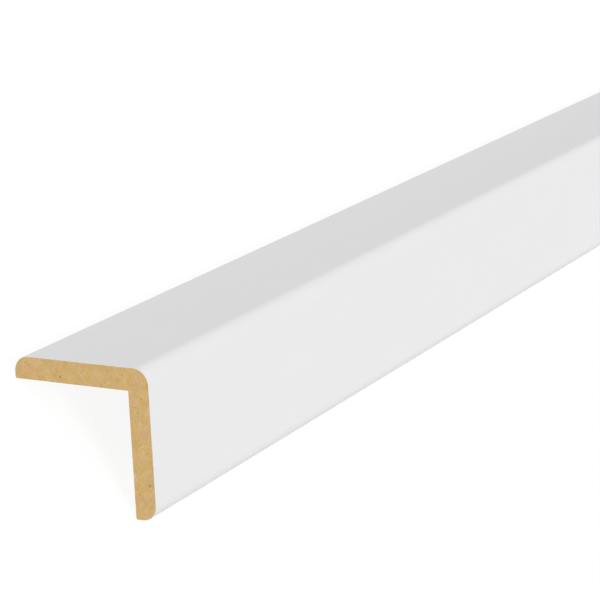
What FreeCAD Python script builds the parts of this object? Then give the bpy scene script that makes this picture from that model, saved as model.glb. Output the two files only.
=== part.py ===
# Corner guard moulding: a straight length of L section, milled from fibreboard and wrapped in white
# foil, that is glued over an outside wall corner. The outer corner and the outer edges of both legs
# are rounded, the inner corner is square, and both ends are sawn square to the length.
# Frame: millimetres, +Z up, length along Y. The moulding stands on the inner edges of its two legs
# like a ridge roof, with the origin on the floor at the middle of its footprint.
import FreeCAD, Part
import Sketcher
import math
import os

# Driving dimensions, in millimetres
SIZES = {
    "left_leg": 33.0,  # outer width of a leg, from the sharp outer corner to its end
    "right_leg": 33.0,
    "thickness": 5.0,
    "corner_radius": 3.5,  # round over the outer corner
    "edge_radius": 3.5,  # round on the outer edge of each leg's end
    "arris_radius": 0.3,  # eased inner edge of each leg's end
    "length": 1000.0,  # as sold
}

doc = FreeCAD.newDocument("corner_guard_moulding")
sheet = doc.addObject("Spreadsheet::Sheet", "Sizes")
for row, (name, size) in enumerate(SIZES.items(), start=1):
    sheet.set(f"A{row}", name)
    sheet.set(f"B{row}", str(size))
    sheet.setAlias(f"B{row}", name)
doc.recompute()

body = doc.addObject("PartDesign::Body", "Moulding")
body.Label = "corner_moulding"

# The section lies across the length, with the sharp outer corner at the sketch's origin, the left
# leg along the horizontal axis and the right leg down the vertical axis.
section = body.newObject("Sketcher::SketchObject", "Section")
across = next(plane for plane in body.Origin.OriginFeatures if plane.Role == "XZ_Plane")
section.AttachmentSupport = [(across, "")]
section.MapMode = "FlatFace"

# The sketch's own numbers for the end points of a line or round, for its two axes and its origin
START_INDEX, END_INDEX = 1, 2
HORIZONTAL_INDEX, VERTICAL_INDEX = -1, -2
ORIGIN = (HORIZONTAL_INDEX, START_INDEX)


def draw_line(start, end):
    """A straight side of the section, and its number in the sketch."""
    ends = [FreeCAD.Vector(x, y, 0) for x, y in (start, end)]
    return section.addGeometry(Part.LineSegment(*ends), False)


def draw_round(centre, radius, first_angle):
    """A quarter round, counter-clockwise from first_angle in degrees, and its number in the sketch."""
    circle = Part.Circle(FreeCAD.Vector(*centre, 0), FreeCAD.Vector(0, 0, 1), radius)
    turn = (math.radians(first_angle), math.radians(first_angle + 90))
    return section.addGeometry(Part.ArcOfCircle(circle, *turn), False)


def bind(kind, where, value, name, expression):
    """A dimension of the section that follows the sheet."""
    number = section.addConstraint(Sketcher.Constraint(kind, *where, value))
    section.renameConstraint(number, name)
    section.setExpression(f"Constraints.{name}", expression)


# Drawn counter-clockwise from the outer corner, near its final shape
left, right, wall = sheet.left_leg, sheet.right_leg, sheet.thickness
edge, arris = wall / 2, wall / 10
corner_round = draw_round((-wall, -wall), wall, 0)
left_face = draw_line((-wall, 0), (edge - left, 0))
left_edge_round = draw_round((edge - left, -edge), edge, 90)
left_end = draw_line((-left, -edge), (-left, arris - wall))
left_arris = draw_round((arris - left, arris - wall), arris, 180)
left_glue_face = draw_line((arris - left, -wall), (-wall, -wall))
right_glue_face = draw_line((-wall, -wall), (-wall, arris - right))
right_arris = draw_round((arris - wall, arris - right), arris, 180)
right_end = draw_line((arris - wall, -right), (-edge, -right))
right_edge_round = draw_round((-edge, edge - right), edge, 270)
right_face = draw_line((0, edge - right), (0, -wall))

# Every round runs smoothly into its two flats, and only the inner corner is sharp
left_side = (corner_round, left_face, left_edge_round, left_end, left_arris, left_glue_face)
right_side = (right_glue_face, right_arris, right_end, right_edge_round, right_face, corner_round)
for side in (left_side, right_side):
    for first, second in zip(side, side[1:]):
        joint = (first, END_INDEX, second, START_INDEX)
        section.addConstraint(Sketcher.Constraint("Tangent", *joint))
inner_corner = (left_glue_face, END_INDEX, right_glue_face, START_INDEX)
section.addConstraint(Sketcher.Constraint("Coincident", *inner_corner))
for flat in (left_face, left_glue_face, right_end):
    section.addConstraint(Sketcher.Constraint("Horizontal", flat))
for flat in (right_face, right_glue_face, left_end):
    section.addConstraint(Sketcher.Constraint("Vertical", flat))
section.addConstraint(Sketcher.Constraint("PointOnObject", left_face, START_INDEX, HORIZONTAL_INDEX))
section.addConstraint(Sketcher.Constraint("PointOnObject", right_face, END_INDEX, VERTICAL_INDEX))
section.addConstraint(Sketcher.Constraint("Equal", left_edge_round, right_edge_round))
section.addConstraint(Sketcher.Constraint("Equal", left_arris, right_arris))

# The edge round is held back so that a thin leg keeps a flat on its end
edge_limit = "min(Sizes.edge_radius; Sizes.thickness - 2 * Sizes.arris_radius)"
bind("DistanceX", (left_end, START_INDEX, *ORIGIN), left, "left_leg", "Sizes.left_leg")
bind("DistanceY", (right_end, START_INDEX, *ORIGIN), right, "right_leg", "Sizes.right_leg")
bind("DistanceY", (left_glue_face, START_INDEX, *ORIGIN), wall, "left_wall", "Sizes.thickness")
bind("DistanceX", (right_glue_face, START_INDEX, *ORIGIN), wall, "right_wall", "Sizes.thickness")
bind("Radius", (corner_round,), wall, "corner_radius", "Sizes.corner_radius")
bind("Radius", (left_edge_round,), edge, "edge_radius", edge_limit)
bind("Radius", (left_arris,), arris, "arris_radius", "Sizes.arris_radius")

run = body.newObject("PartDesign::Pad", "Run")
run.Profile = section
run.SideType = "Symmetric"
run.setExpression("Length", "Sizes.length")

# Turned about its length until both inner edges meet the floor, which for equal legs is 45 degrees
tilt = "atan((Sizes.right_leg - Sizes.thickness) / (Sizes.left_leg - Sizes.thickness))"
corner_height = (
    f"(Sizes.left_leg - Sizes.arris_radius) * sin({tilt})"
    f" + (Sizes.thickness - Sizes.arris_radius) * cos({tilt}) + Sizes.arris_radius"
)
corner_offset = f"(Sizes.left_leg * cos({tilt}) - Sizes.right_leg * sin({tilt})) / 2"
body.Placement.Rotation = FreeCAD.Rotation(FreeCAD.Vector(0, -1, 0), 45)
body.setExpression("Placement.Rotation.Angle", tilt)
body.setExpression("Placement.Base.x", corner_offset)
body.setExpression("Placement.Base.z", corner_height)
doc.recompute()

for item in doc.Objects:
    if "Invalid" in item.State or "Error" in item.State:
        raise RuntimeError(f"{item.Label} did not build")
if not section.FullyConstrained:
    raise RuntimeError("the section is not fully dimensioned")
if body.Shape.isNull() or not body.Shape.isValid():
    raise RuntimeError(f"{body.Label} is not a valid solid")

os.makedirs("parts", exist_ok=True)
body.Shape.exportStep(f"parts/{body.Label}.step")
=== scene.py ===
import math
import random

import bmesh
import bpy
from mathutils import Matrix, Vector, noise
from mathutils.geometry import delaunay_2d_cdt


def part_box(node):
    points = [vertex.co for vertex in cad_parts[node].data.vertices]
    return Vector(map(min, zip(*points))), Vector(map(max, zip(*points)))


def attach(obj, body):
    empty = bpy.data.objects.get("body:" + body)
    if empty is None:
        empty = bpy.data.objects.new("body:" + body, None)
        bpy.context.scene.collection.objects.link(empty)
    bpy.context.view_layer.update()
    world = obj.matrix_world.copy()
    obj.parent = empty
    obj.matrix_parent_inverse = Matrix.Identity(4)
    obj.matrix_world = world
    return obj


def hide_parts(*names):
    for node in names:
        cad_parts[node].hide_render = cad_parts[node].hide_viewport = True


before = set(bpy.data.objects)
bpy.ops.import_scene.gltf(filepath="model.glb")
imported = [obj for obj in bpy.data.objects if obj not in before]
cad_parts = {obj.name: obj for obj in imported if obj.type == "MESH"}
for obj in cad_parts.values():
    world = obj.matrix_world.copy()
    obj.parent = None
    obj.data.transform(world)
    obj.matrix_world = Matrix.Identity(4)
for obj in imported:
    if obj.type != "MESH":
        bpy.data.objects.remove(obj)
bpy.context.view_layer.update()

# Fibreboard moulding
# The body of the guard, an L section milled from medium density fibreboard. Its two inner faces are
# left as the cutter made them, to take the glue, and both ends are bare where the saw cut them.
LEG = 0.033  # outer width of a leg, from the sharp outer corner to its end
WALL = 0.005
CORNER_ROUND = 0.0035
EDGE_ROUND = 0.0035
ARRIS_ROUND = 0.0003
FOIL = 0.00008  # thickness of the foil that the board carries on its outer side
OUTLINE_STEP = 0.00025
ROUND_STEPS = 24
ARRIS_STEPS = 6

low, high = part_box("corner_moulding")
ENDS = ((low[1], 1), (high[1], -1))  # each end's place along the length, and the way into the board
corner_height = (LEG + WALL - 2 * ARRIS_ROUND) / math.sqrt(2) + ARRIS_ROUND


def outside_line(inset):
    """The outer side of the section, from the left glue face round to the right one, this far below the
    foil's surface. A point is its distance from the sharp outer corner along the left and right leg."""
    rounds = (
        (LEG - ARRIS_ROUND, WALL - ARRIS_ROUND, ARRIS_ROUND, ARRIS_STEPS),
        (LEG - EDGE_ROUND, EDGE_ROUND, EDGE_ROUND, ROUND_STEPS),
        (CORNER_ROUND, CORNER_ROUND, CORNER_ROUND, ROUND_STEPS),
        (EDGE_ROUND, LEG - EDGE_ROUND, EDGE_ROUND, ROUND_STEPS),
        (WALL - ARRIS_ROUND, LEG - ARRIS_ROUND, ARRIS_ROUND, ARRIS_STEPS),
    )
    line = []
    for turn, (along_left, along_right, radius, steps) in enumerate(rounds):
        for step in range(steps + 1):
            angle = math.radians(90 - 90 * (turn + step / steps))
            out = Vector((math.cos(angle), math.sin(angle))) * (radius - inset)
            line.append(Vector((along_left, along_right)) + out)
    return line


def spaced(line):
    """The same line with points added, so that no stretch of it is longer than OUTLINE_STEP."""
    points = [line[0]]
    for start, end in zip(line, line[1:]):
        count = max(1, math.ceil((end - start).length / OUTLINE_STEP))
        points += [start.lerp(end, i / count) for i in range(1, count + 1)]
    return points


def in_frame(point, y):
    """A point of the section, standing on its inner edges, at a place along the length."""
    across = (point.y - point.x) / math.sqrt(2)
    down = (point.x + point.y) / math.sqrt(2)
    return Vector((across, y, corner_height - down))


GLUE_LINE = [Vector((WALL, LEG - ARRIS_ROUND)), Vector((WALL, WALL)), Vector((LEG - ARRIS_ROUND, WALL))]
covered_line = spaced(outside_line(FOIL))
board_line = covered_line + spaced(GLUE_LINE)

# The saw leaves each end a little short and rough, with faint strokes of the blade and torn pits.
FIBRE_STEP = 0.0002
FIBRE_SHAKE, RIM_CLEARANCE = 0.3, 0.6  # shares of the fibre step
TUFT = 0.0006  # the largest lumps of torn fibres
TUFT_FADE, TUFT_SPLIT, TUFT_LEVELS = 1.0, 2.0, 4  # each level is half the size and half the height
SAWN_RELIEF = 0.00004
BLADE_MIDDLE = Vector((0.06, -0.14))  # from the sharp outer corner along the left and right leg
BLADE_STEP = 0.0009
BLADE_MARK = 0.000006
PIT_SHARE = 0.02
PIT_DEPTH = 0.00015
SEED = 33


def sawn_depth(point, y):
    """How far the blade and the torn fibres leave a point of an end short of the full length."""
    torn = noise.fractal(Vector((point.x, point.y, y)) / TUFT, TUFT_FADE, TUFT_SPLIT, TUFT_LEVELS)
    stroke = math.sin(2 * math.pi * (point - BLADE_MIDDLE).length / BLADE_STEP)
    return SAWN_RELIEF * (1 + min(max(torn, -1), 1)) / 2 + BLADE_MARK * (1 + stroke) / 2


def cut_line(mesh, line, end, depth):
    """The vertices of a line round the section where the saw cut it."""
    y, inward = end
    return [mesh.verts.new(in_frame(point, y + inward * depth(point, y))) for point in line]


def well_inside(point):
    """True for a point of the section that keeps a little clear of its outline."""
    clear = FOIL + RIM_CLEARANCE * FIBRE_STEP
    across, along = sorted(point)
    if not clear < across < WALL - clear or along > LEG - clear:
        return False
    if along < CORNER_ROUND:
        middle, radius = Vector((CORNER_ROUND, CORNER_ROUND)), CORNER_ROUND
    elif across < EDGE_ROUND and along > LEG - EDGE_ROUND:
        middle, radius = Vector((EDGE_ROUND, LEG - EDGE_ROUND)), EDGE_ROUND
    else:
        return True
    return (Vector((across, along)) - middle).length < radius - clear


def fibre_points(dice):
    """Points all over the section, in rows a fibre's width apart and shaken out of line."""
    row_step = math.sqrt(3) / 2
    points = []
    for row in range(1, int(LEG / FIBRE_STEP / row_step)):
        for i in range(1, int(LEG / FIBRE_STEP)):
            shake = Vector((dice.uniform(-1, 1), dice.uniform(-1, 1))) * FIBRE_SHAKE
            point = (Vector((i + (row % 2) / 2, row * row_step)) + shake) * FIBRE_STEP
            if well_inside(point):
                points.append(point)
    return points


# Outside this scene a piece keeps its finish on a map of level strips: first those of its ends, then one
# for each run of its length, and last a thin one for the sides that another piece covers.
RUNS = 3
MAP_START, MAP_END = 0.01, 0.99
END_STRIP, END_STEP, END_WIDTH = 0.01, 0.09, 0.08
RUN_STRIP, RUN_STEP, RUN_WIDTH = 0.37, 0.2, 0.19
COVERED_STRIP, COVERED_WIDTH = 0.97, 0.02


def lay_flat(face, layer, strip, width, corners):
    """Lays a face on a strip of its piece's map, each corner a share of the way along and across it."""
    for loop, (along, across) in zip(face.loops, corners):
        loop[layer].uv = (MAP_START + (MAP_END - MAP_START) * along, strip + width * across)


def section_rows(mesh, line, depth):
    """Rows of vertices round the section: where the saw cut the two ends, and where the runs meet."""
    first, last = (cut_line(mesh, line, end, depth) for end in ENDS)
    rows = [first]
    for run in range(1, RUNS):
        rows.append([mesh.verts.new(start.co.lerp(end.co, run / RUNS)) for start, end in zip(first, last)])
    return rows + [last]


def long_sides(mesh, layer, rows, covered):
    """Joins rows of vertices into the long sides of a piece, of which the covered ones are never seen."""
    count = len(rows[0])
    seen = [i for i in range(count) if i not in covered]
    for run, (near, far) in enumerate(zip(rows, rows[1:])):
        groups = (
            (seen, RUN_STRIP + RUN_STEP * run, RUN_WIDTH, 0.0, 1.0),
            (covered, COVERED_STRIP, COVERED_WIDTH, run / RUNS, (run + 1) / RUNS),
        )
        for sides, strip, width, start, end in groups:
            for order, i in enumerate(sides):
                after = (i + 1) % count
                side = mesh.faces.new((near[i], near[after], far[after], far[i]))
                across, next_across = order / len(sides), (order + 1) / len(sides)
                corners = ((start, across), (start, next_across), (end, next_across), (end, across))
                lay_flat(side, layer, strip, width, corners)


INSIDE_ONLY = 1  # keeps the triangles within the rim
SAME_POINT = 1e-9  # points that are closer than this count as one
SAWN_FINISH = 1  # the second of the board's finishes, after the milled one


def close_end(mesh, layer, rim, number, dice):
    """Closes one end of the board with a fibrous sawn face inside its rim of vertices."""
    y, inward = ENDS[number]
    edges = [(i, (i + 1) % len(rim)) for i in range(len(rim))]
    scattered = board_line + fibre_points(dice)
    net = delaunay_2d_cdt(scattered, edges, [], INSIDE_ONLY, SAME_POINT)
    points, _, triangles, sources, _, _ = net
    made = []
    for point, source in zip(points, sources):
        if source[0] < len(rim):  # a point of the rim, which has its vertex
            made.append(rim[source[0]])
            continue
        depth = sawn_depth(point, y)
        if dice.random() < PIT_SHARE:
            depth += PIT_DEPTH * dice.random()
        made.append(mesh.verts.new(in_frame(point, y + inward * depth)))
    for triangle in triangles:
        corners = [points[i] for i in triangle]
        right_leg = sum(corner.y - corner.x for corner in corners) > 0
        strip = END_STRIP + END_STEP * (2 * number + right_leg)
        face = mesh.faces.new([made[i] for i in triangle])
        face.material_index = SAWN_FINISH
        shares = []
        for corner in corners:
            across, along = corner if right_leg else corner.yx
            shares.append((along / LEG, across / WALL))
        lay_flat(face, layer, strip, END_WIDTH, shares)


dice = random.Random(SEED)
board = bmesh.new()
board_map = board.loops.layers.uv.new("OFBake")
rows = section_rows(board, board_line, sawn_depth)
long_sides(board, board_map, rows, range(len(covered_line) - 1))
for number, rim in enumerate((rows[0], rows[-1])):
    close_end(board, board_map, rim, number, dice)
bmesh.ops.recalc_face_normals(board, faces=board.faces)

SHARP_ANGLE = 50  # degrees


def finish_piece(name, mesh):
    """Turns a mesh into a piece of the guard, smooth but for its sharp edges."""
    data = bpy.data.meshes.new(name)
    mesh.to_mesh(data)
    mesh.free()
    data.shade_smooth()
    data.set_sharp_from_angle(angle=math.radians(SHARP_ANGLE))
    piece = bpy.data.objects.new(name, data)
    bpy.context.collection.objects.link(piece)
    return piece


fibreboard = finish_piece("fibreboard", board)


def put(tree, kind, sockets=(), **settings):
    """Adds a node, with values or links on its input sockets."""
    made = tree.nodes.new(kind)
    for name, value in settings.items():
        setattr(made, name, value)
    for socket, value in dict(sockets).items():
        if isinstance(value, bpy.types.NodeSocket):
            tree.links.new(value, made.inputs[socket])
        else:
            made.inputs[socket].default_value = value
    return made


def maths(tree, operation, *values):
    """A sum on numbers that vary over the surface."""
    return put(tree, "ShaderNodeMath", dict(enumerate(values)), operation=operation).outputs[0]


def vector_maths(tree, operation, *values):
    """A sum on places that vary over the surface."""
    return put(tree, "ShaderNodeVectorMath", dict(enumerate(values)), operation=operation).outputs[0]


NOISE_MIDDLE, NOISE_GRAIN = 0.5, 0.6
PATTERN_GAP = 37  # millimetres
MILLIMETRES = 1000  # in a metre
MIX_SHARE, MIX_FIRST, MIX_SECOND, MIX_RESULT = 0, 6, 7, 2  # the Mix node's sockets for colours


def noise_at(tree, place, pattern):
    """Cloudy noise from 0 to 1. Its pattern is the lumps to the millimetre, and the levels of finer ones."""
    scale, detail = pattern
    sockets = {"Vector": place, "Scale": scale, "Detail": detail, "Roughness": NOISE_GRAIN}
    return put(tree, "ShaderNodeTexNoise", sockets)


def apart(tree, place, number):
    """A place moved far along, so that patterns with other numbers have nothing in common there."""
    return vector_maths(tree, "ADD", place, (number * PATTERN_GAP,) * 3)


def fade(tree, value, full, none):
    """1 where a value is at full, and smoothly down to 0 where it is at none."""
    sockets = {"Value": value, "From Min": full, "From Max": none, "To Min": 1.0, "To Max": 0.0}
    return put(tree, "ShaderNodeMapRange", sockets, interpolation_type="SMOOTHSTEP").outputs[0]


def mixed(tree, share, first, second, way="MIX"):
    """The first colour, with a share of the second mixed into it."""
    sockets = {MIX_SHARE: share, MIX_FIRST: first, MIX_SECOND: second}
    return put(tree, "ShaderNodeMix", sockets, data_type="RGBA", blend_type=way).outputs[MIX_RESULT]


def millimetres(tree):
    """The place of a point on its piece, in millimetres."""
    place = put(tree, "ShaderNodeTexCoord").outputs["Object"]
    return vector_maths(tree, "MULTIPLY", place, (MILLIMETRES,) * 3)


def stand_up(tree, height):
    """The normals of a surface with a height in millimetres."""
    return put(tree, "ShaderNodeBump", {"Height": height, "Distance": 1 / MILLIMETRES}).outputs[0]


# The fibres' noise patterns, the numbers that set like ones apart, and then how each one counts. Heights
# are in millimetres.
DRIFTS, CLUMPS, STRANDS, THREADS, HUES = (0.8, 2), (0.4, 3), (1.7, 4), (0.9, 1), (0.4, 2)
BITS = 0.75  # to the millimetre
PALE_THREADS, DARK_THREADS, SPECKS, FLECKS, GOLD, ROSE = range(1, 7)
DRIFT_REACH = 1.6
THREAD_WIDTH = 0.014
CLUMP_SHARE, STRAND_SHARE, THREAD_SHARE = 0.5, 0.5, 0.11
BIT_CORE, BIT_RIM = 0.055, 0.21
HUE_FULL, HUE_NONE = 0.65, 0.35
FIBRE_RISE, SPECK_SINK = 0.06, 0.05


def fibre_group():
    """The matted fibres at a place in millimetres. Tone runs from dark to pale fibres, and Golden and Rosy
    are 1 where they are yellower or redder. Speck marks dark bits of bark, Fleck pale splinters, and
    Height is in millimetres."""
    group = bpy.data.node_groups.new("board_fibre", "ShaderNodeTree")
    group.interface.new_socket("Place", in_out="INPUT", socket_type="NodeSocketVector")
    for name in ("Tone", "Golden", "Rosy", "Speck", "Fleck", "Height"):
        group.interface.new_socket(name, in_out="OUTPUT", socket_type="NodeSocketFloat")
    place = put(group, "NodeGroupInput").outputs["Place"]
    wander = noise_at(group, place, DRIFTS).outputs["Color"]
    drift = vector_maths(group, "SUBTRACT", wander, (NOISE_MIDDLE,) * 3)
    bent = vector_maths(group, "MULTIPLY_ADD", drift, (DRIFT_REACH,) * 3, place)

    clumps = noise_at(group, place, CLUMPS).outputs["Fac"]
    strands = noise_at(group, bent, STRANDS).outputs["Fac"]
    tone = maths(group, "MULTIPLY_ADD", clumps, CLUMP_SHARE, maths(group, "MULTIPLY", strands, STRAND_SHARE))
    for number, share in ((PALE_THREADS, THREAD_SHARE), (DARK_THREADS, -THREAD_SHARE)):
        contour = noise_at(group, apart(group, bent, number), THREADS).outputs["Fac"]
        off_thread = maths(group, "ABSOLUTE", maths(group, "SUBTRACT", contour, NOISE_MIDDLE))
        tone = maths(group, "MULTIPLY_ADD", fade(group, off_thread, 0.0, THREAD_WIDTH), share, tone)

    bits = []
    for number in (SPECKS, FLECKS):
        sockets = {"Vector": apart(group, bent, number), "Scale": BITS}
        cells = put(group, "ShaderNodeTexVoronoi", sockets).outputs
        strength = put(group, "ShaderNodeSeparateColor", {0: cells["Color"]}).outputs[0]
        bits.append(maths(group, "MULTIPLY", fade(group, cells["Distance"], BIT_CORE, BIT_RIM), strength))
    speck, fleck = bits

    hues = []
    for number in (GOLD, ROSE):
        clouds = noise_at(group, apart(group, place, number), HUES).outputs["Fac"]
        hues.append(fade(group, clouds, HUE_FULL, HUE_NONE))
    golden, rosy = hues

    height = maths(group, "MULTIPLY_ADD", speck, -SPECK_SINK, maths(group, "MULTIPLY", tone, FIBRE_RISE))
    outputs = {"Tone": tone, "Golden": golden, "Rosy": rosy, "Speck": speck, "Fleck": fleck, "Height": height}
    put(group, "NodeGroupOutput", outputs)
    return group


SAWN_DARK, SAWN_PALE = (0.634, 0.408, 0.162, 1), (0.834, 0.573, 0.287, 1)
MILLED_DARK, MILLED_PALE = (0.552, 0.357, 0.148, 1), (0.655, 0.439, 0.212, 1)
GOLDEN_TINT = (1.0, 0.985, 0.76, 1)
ROSY_TINT, GREEN_TINT = (1.0, 0.965, 1.0, 1), (0.97, 1.0, 1.0, 1)
SPECK_COLOUR, SPECK_STRENGTH = (0.27, 0.15, 0.055, 1), 0.68
FLECK_COLOUR, FLECK_STRENGTH = (0.88, 0.7, 0.4, 1), 0.55
DARK_TONE, PALE_TONE = 0.2, 0.8
PALE_POLISH = 0.15  # how much smoother the pale fibres are than the dark ones
SAWN_ROUGHNESS, MILLED_ROUGHNESS = 0.98, 0.82
SAWN_NAP, MILLED_NAP = 1.0, 0.3  # how much of their full height the fibres stand up
SCRATCHES, SCRATCH_DEPTH = 5.0, 0.012  # to the millimetre, and in millimetres
CUTTER_STEP, CUTTER_MARK = 1.6, 0.008  # millimetres
ACROSS_ONLY = (1, 0, 1)  # leaves out how far along the length a place is
board_fibre = fibre_group()


def saw_scratches(tree, place):
    """The height of the fine scratches that the blade's teeth draw round its middle."""
    middle = in_frame(BLADE_MIDDLE, 0.0) * MILLIMETRES
    flat = vector_maths(tree, "MULTIPLY", place, ACROSS_ONLY)
    reach = put(tree, "ShaderNodeVectorMath", {0: flat, 1: middle}, operation="DISTANCE").outputs["Value"]
    rings = put(tree, "ShaderNodeTexNoise", {"W": reach, "Scale": SCRATCHES}, noise_dimensions="1D")
    return maths(tree, "MULTIPLY", rings.outputs[0], SCRATCH_DEPTH)


def cutter_ripples(tree, place):
    """The height of the even ripples that a turning cutter leaves along the length."""
    along = put(tree, "ShaderNodeSeparateXYZ", {0: place}).outputs["Y"]
    turn = maths(tree, "MULTIPLY", along, 2 * math.pi / CUTTER_STEP)
    return maths(tree, "MULTIPLY", maths(tree, "SINE", turn), CUTTER_MARK)


def board_finish(name, dark, pale, roughness, nap, tool_marks):
    """A bare face of the board, between two colours, with the marks of the tool that cut it."""
    material = bpy.data.materials.new(name)
    material.use_nodes = True
    tree = material.node_tree
    place = millimetres(tree)
    fibres = put(tree, "ShaderNodeGroup", {"Place": place}, node_tree=board_fibre).outputs
    colour = mixed(tree, fade(tree, fibres["Tone"], PALE_TONE, DARK_TONE), dark, pale)
    colour = mixed(tree, fibres["Golden"], colour, GOLDEN_TINT, "MULTIPLY")
    tint = mixed(tree, fibres["Rosy"], GREEN_TINT, ROSY_TINT)
    colour = mixed(tree, 1.0, colour, tint, "MULTIPLY")
    colour = mixed(tree, maths(tree, "MULTIPLY", fibres["Speck"], SPECK_STRENGTH), colour, SPECK_COLOUR)
    colour = mixed(tree, maths(tree, "MULTIPLY", fibres["Fleck"], FLECK_STRENGTH), colour, FLECK_COLOUR)
    polish = maths(tree, "MULTIPLY_ADD", fibres["Tone"], -PALE_POLISH, roughness)
    height = maths(tree, "MULTIPLY_ADD", fibres["Height"], nap, tool_marks(tree, place))
    shader = tree.nodes["Principled BSDF"].inputs
    tree.links.new(colour, shader["Base Color"])
    tree.links.new(polish, shader["Roughness"])
    tree.links.new(stand_up(tree, height), shader["Normal"])
    return material


milled = ("milled_board", MILLED_DARK, MILLED_PALE, MILLED_ROUGHNESS, MILLED_NAP, cutter_ripples)
sawn = ("sawn_board", SAWN_DARK, SAWN_PALE, SAWN_ROUGHNESS, SAWN_NAP, saw_scratches)
for finish in (milled, sawn):
    fibreboard.data.materials.append(board_finish(*finish))
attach(fibreboard, "root")
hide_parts("corner_moulding")

# White foil
# A plain white decor foil, glued hot over the outer faces and rolled round the edges of both legs, so
# that only the glue faces stay bare. The saw trims it at both ends and chips it back here and there.
NICK = 0.0015
NICK_LEVEL = 0.3
NICK_DEPTH = 0.0004


def foil_depth(point, y):
    """How far the saw leaves the foil's edge short of the full length, with its nicks."""
    chip = noise.noise(Vector((point.x, point.y, y)) / NICK)
    return sawn_depth(point, y) + NICK_DEPTH * max(chip - NICK_LEVEL, 0.0)


# Its line goes out along the outer side and comes back along the board, point by point.
outer_line = spaced(outside_line(0.0))
foil_line = outer_line + covered_line[::-1]
wrap = bmesh.new()
wrap_map = wrap.loops.layers.uv.new("OFBake")
rows = section_rows(wrap, foil_line, foil_depth)
long_sides(wrap, wrap_map, rows, range(len(outer_line), len(foil_line) - 1))
for number, cut in enumerate((rows[0], rows[-1])):
    strip = END_STRIP + END_STEP * number
    for i in range(len(outer_line) - 1):
        edge = wrap.faces.new((cut[i], cut[i + 1], cut[-2 - i], cut[-1 - i]))
        start, end = i / len(outer_line), (i + 1) / len(outer_line)
        lay_flat(edge, wrap_map, strip, END_WIDTH, ((start, 0.0), (end, 0.0), (end, 1.0), (start, 1.0)))
bmesh.ops.recalc_face_normals(wrap, faces=wrap.faces)
foil = finish_piece("white_foil", wrap)

WHITE, BRIGHT_WHITE = (0.81, 0.81, 0.81, 1), (0.83, 0.83, 0.83, 1)
CLOUDS, STREAKS, PEELS = (0.06, 2), (1.2, 3), (0.7, 2)
STREAK_PULL = (1, 0.01, 1)  # the streaks are drawn out along the length
STREAK_SMOOTH, STREAK_SPAN = 0.44, 0.16
PEEL_HEIGHT = 0.006

white = bpy.data.materials.new("white_foil")
white.use_nodes = True
tree = white.node_tree
place = millimetres(tree)
shade = mixed(tree, noise_at(tree, place, CLOUDS).outputs["Fac"], WHITE, BRIGHT_WHITE)
drawn = vector_maths(tree, "MULTIPLY", place, STREAK_PULL)
streaks = noise_at(tree, drawn, STREAKS).outputs["Fac"]
satin = maths(tree, "MULTIPLY_ADD", streaks, STREAK_SPAN, STREAK_SMOOTH)
peel = maths(tree, "MULTIPLY", noise_at(tree, place, PEELS).outputs["Fac"], PEEL_HEIGHT)
shader = tree.nodes["Principled BSDF"].inputs
tree.links.new(shade, shader["Base Color"])
tree.links.new(satin, shader["Roughness"])
tree.links.new(stand_up(tree, peel), shader["Normal"])
foil.data.materials.append(white)
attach(foil, "root")
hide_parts("corner_moulding")

# Studio
# A white paper floor under an even white sky, with a soft key lamp high on the right and a low fill lamp
# on the left. Seen directly, the paper glows almost white and carries a faint trace of the guard's shadow.
FLOOR_REACH = 4.0
PAPER_ALBEDO = 0.53
PAPER_GLOW = 0.92
SHADOW_TRACE = 0.1
SKY_STRENGTH = 0.533
LAMP_SPREAD = 20  # degrees
# Each lamp's azimuth and elevation in degrees, and its strength
LAMPS = (("key", 52.2, 46.8, 1.645), ("fill", -63.5, 19.6, 0.775))


def seen_directly(tree):
    """1 for the camera, also in mirrors and glass, and 0 for the light that falls on things."""
    path = put(tree, "ShaderNodeLightPath").outputs
    mirrored = maths(tree, "MAXIMUM", path["Is Glossy Ray"], path["Is Transmission Ray"])
    return maths(tree, "MAXIMUM", path["Is Camera Ray"], mirrored)


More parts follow.
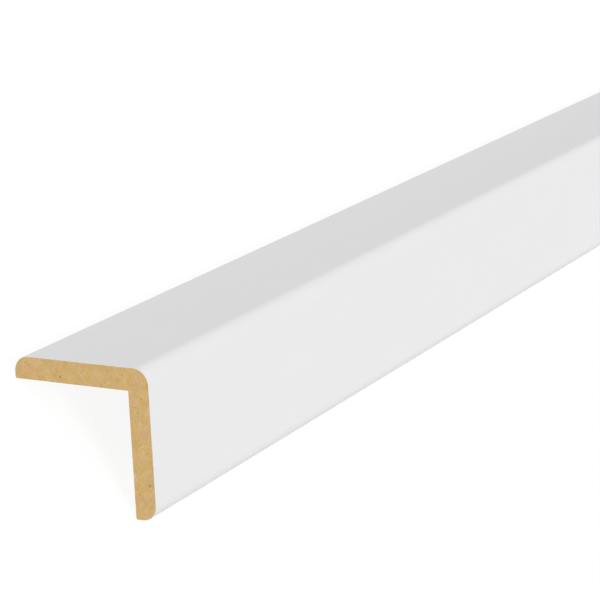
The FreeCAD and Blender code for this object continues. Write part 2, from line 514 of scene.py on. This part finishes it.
floor_mesh = bpy.data.meshes.new("floor")
floor_corners = [(x, y, 0.0) for x, y in ((-1, -1), (1, -1), (1, 1), (-1, 1))]
floor_mesh.from_pydata([FLOOR_REACH * Vector(corner) for corner in floor_corners], [], [(0, 1, 2, 3)])
floor = bpy.data.objects.new("floor", floor_mesh)
bpy.context.collection.objects.link(floor)
paper = bpy.data.materials.new("white_paper")
paper.use_nodes = True
floor_mesh.materials.append(paper)
tree = paper.node_tree
tree.nodes.clear()
matt = {"Roughness": 1.0, "Specular IOR Level": 0.0}
lit = put(tree, "ShaderNodeBsdfPrincipled", {"Base Color": (PAPER_ALBEDO,) * 3 + (1,), **matt})
glow = {"Emission Color": (1, 1, 1, 1), "Emission Strength": PAPER_GLOW}
shown = put(tree, "ShaderNodeBsdfPrincipled", {"Base Color": (SHADOW_TRACE,) * 3 + (1,), **matt, **glow})
either = put(tree, "ShaderNodeMixShader", {0: seen_directly(tree), 1: lit.outputs[0], 2: shown.outputs[0]})
put(tree, "ShaderNodeOutputMaterial", {"Surface": either.outputs[0]})

world = bpy.data.worlds.new("studio")
bpy.context.scene.world = world
world.use_nodes = True
tree = world.node_tree
sky = tree.nodes["Background"].inputs
sky["Color"].default_value = (1, 1, 1, 1)
levels = {"Value": seen_directly(tree), "To Min": SKY_STRENGTH, "To Max": 1.0}
tree.links.new(put(tree, "ShaderNodeMapRange", levels).outputs[0], sky["Strength"])

for name, azimuth, elevation, strength in LAMPS:
    lamp_data = bpy.data.lights.new(name, "SUN")
    lamp_data.energy = strength
    lamp_data.angle = math.radians(LAMP_SPREAD)
    lamp = bpy.data.objects.new(name, lamp_data)
    lamp.rotation_euler = (math.radians(90 - elevation), 0.0, math.radians(azimuth))
    bpy.context.collection.objects.link(lamp)

# Camera
# It looks down on the near end from the right through a long lens, and is rolled so that the left leg
# lies level in the picture and the right leg hangs from it.
VIEW_AZIMUTH, VIEW_ELEVATION, VIEW_ROLL = 10.236, 30.51, 43.293  # degrees
VIEW_DISTANCE = 0.5485
VIEW_LENS = 142.55  # millimetres
AIM_BEHIND_END = 0.07261
AIM_HEIGHT = 0.021443

aim = Vector((0.0, low[1] + AIM_BEHIND_END, AIM_HEIGHT))
turn = (
    Matrix.Rotation(math.radians(VIEW_AZIMUTH), 4, "Z")
    @ Matrix.Rotation(math.radians(90 - VIEW_ELEVATION), 4, "X")
    @ Matrix.Rotation(math.radians(VIEW_ROLL), 4, "Z")
)
camera_data = bpy.data.cameras.new("camera")
camera_data.lens = VIEW_LENS
camera = bpy.data.objects.new("camera", camera_data)
camera.matrix_world = Matrix.Translation(aim + turn.to_3x3() @ Vector((0, 0, VIEW_DISTANCE))) @ turn
bpy.context.collection.objects.link(camera)
bpy.context.scene.camera = camera
bpy.context.scene.view_settings.view_transform = "Standard"
